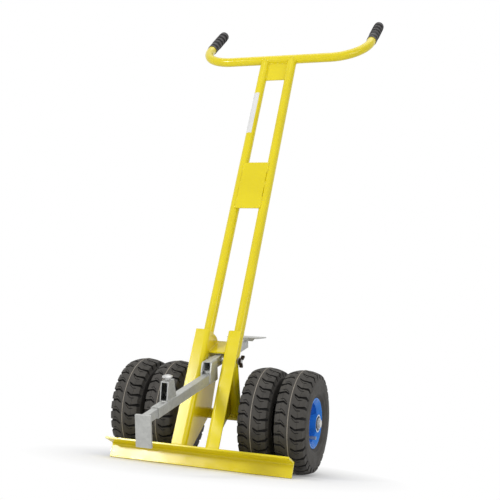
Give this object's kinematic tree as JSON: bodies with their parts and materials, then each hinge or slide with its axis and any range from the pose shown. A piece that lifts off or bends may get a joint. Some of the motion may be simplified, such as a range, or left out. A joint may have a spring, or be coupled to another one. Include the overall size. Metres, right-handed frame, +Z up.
{
  "type": "slab transport trolley",
  "caption": "Hand trolley with twin pneumatic wheels, toe angle and a pedal-worked telescoping clamp arm for carrying paving slabs.",
  "frame": {"origin": "on the floor, in the middle of the trolley's bounding box", "axes": "+Z up, +X to the right along the axle seen from the front, +Y to the back, where the user stands"},
  "size_m": [0.5546, 0.8484, 1.3672],
  "materials": {
    "yellow_paint": "gloss powder coat",
    "grip_rubber": "satin",
    "zinc_steel": "zinc plated",
    "galvanised_steel": "galvanised",
    "dark_steel": "blackened",
    "tyre": "matt moulded",
    "tube_rubber": "matt",
    "blue_paint": "gloss"
  },
  "bodies": {
    "frame": {"toe_angle": "yellow_paint", "left_leg": "yellow_paint", "right_leg": "yellow_paint", "cross_plate": "yellow_paint", "axle_tube": "yellow_paint", "left_stem": "yellow_paint", "right_stem": "yellow_paint", "middle_plate": "yellow_paint", "top_plate": "yellow_paint", "handlebar": "yellow_paint", "left_grip": "grip_rubber", "right_grip": "grip_rubber", "axle_shaft": "zinc_steel", "thrust_washers": "zinc_steel", "twin_spacers": "zinc_steel", "retaining_rings": "zinc_steel", "pivot_bolt": "zinc_steel", "pivot_washers": "zinc_steel", "pivot_spacers": "zinc_steel"},
    "clamp": {"lever_tube": "galvanised_steel", "pivot_bush": "zinc_steel", "arm_packer": "galvanised_steel", "left_cheek": "galvanised_steel", "right_cheek": "galvanised_steel", "outer_arm": "galvanised_steel", "foot_pedal": "galvanised_steel", "lock_housing": "galvanised_steel", "lock_spring": "zinc_steel"},
    "sliding_arm": {"inner_arm": "galvanised_steel", "jaw_plate": "galvanised_steel"},
    "lock": {"lock_pin": "zinc_steel", "lock_knob": "zinc_steel"},
    "wing_nut": {"wing_nut": "dark_steel"},
    "left_outer_wheel": {"left_outer_tyre": "tyre", "left_outer_inner_tube": "tube_rubber", "left_outer_rim_valve_half": "blue_paint", "left_outer_rim_plain_half": "blue_paint", "left_outer_bearings": "zinc_steel", "left_outer_rim_bolts": "zinc_steel"},
    "left_inner_wheel": {"left_inner_tyre": "tyre", "left_inner_inner_tube": "tube_rubber", "left_inner_rim_valve_half": "blue_paint", "left_inner_rim_plain_half": "blue_paint", "left_inner_bearings": "zinc_steel", "left_inner_rim_bolts": "zinc_steel"},
    "right_inner_wheel": {"right_inner_tyre": "tyre", "right_inner_inner_tube": "tube_rubber", "right_inner_rim_valve_half": "blue_paint", "right_inner_rim_plain_half": "blue_paint", "right_inner_bearings": "zinc_steel", "right_inner_rim_bolts": "zinc_steel"},
    "right_outer_wheel": {"right_outer_tyre": "tyre", "right_outer_inner_tube": "tube_rubber", "right_outer_rim_valve_half": "blue_paint", "right_outer_rim_plain_half": "blue_paint", "right_outer_bearings": "zinc_steel", "right_outer_rim_bolts": "zinc_steel"}
  },
  "joints": [
    {"name": "clamp_pivot", "type": "hinge", "parent": "frame", "child": "clamp", "pos_m": [0, -0.02548, 0.2671], "axis": [-1, 0, 0], "range_deg": [-6, 22]},
    {"name": "arm_slide", "type": "slide", "parent": "clamp", "child": "sliding_arm", "axis": [0, -0.9547, -0.2974], "range_m": [-0.05, 0.11]},
    {"name": "lock_lift", "type": "slide", "parent": "clamp", "child": "lock", "axis": [0, -0.2974, 0.9547], "range_m": [0, 0.01], "stiffness_N_per_m": 300, "springref_m": -0.02, "deforming": ["lock_spring"]},
    {"name": "wing_nut_turn", "type": "hinge", "parent": "frame", "child": "wing_nut", "pos_m": [0, -0.02548, 0.2671], "axis": [1, 0, 0], "continuous": true},
    {"name": "left_outer_spin", "type": "hinge", "parent": "frame", "child": "left_outer_wheel", "pos_m": [-0.2214, 0.03008, 0.13], "axis": [1, 0, 0], "continuous": true},
    {"name": "left_inner_spin", "type": "hinge", "parent": "frame", "child": "left_inner_wheel", "pos_m": [-0.1268, 0.03008, 0.13], "axis": [1, 0, 0], "continuous": true},
    {"name": "right_inner_spin", "type": "hinge", "parent": "frame", "child": "right_inner_wheel", "pos_m": [0.1268, 0.03008, 0.13], "axis": [1, 0, 0], "continuous": true},
    {"name": "right_outer_spin", "type": "hinge", "parent": "frame", "child": "right_outer_wheel", "pos_m": [0.2214, 0.03008, 0.13], "axis": [1, 0, 0], "continuous": true}
  ]
}
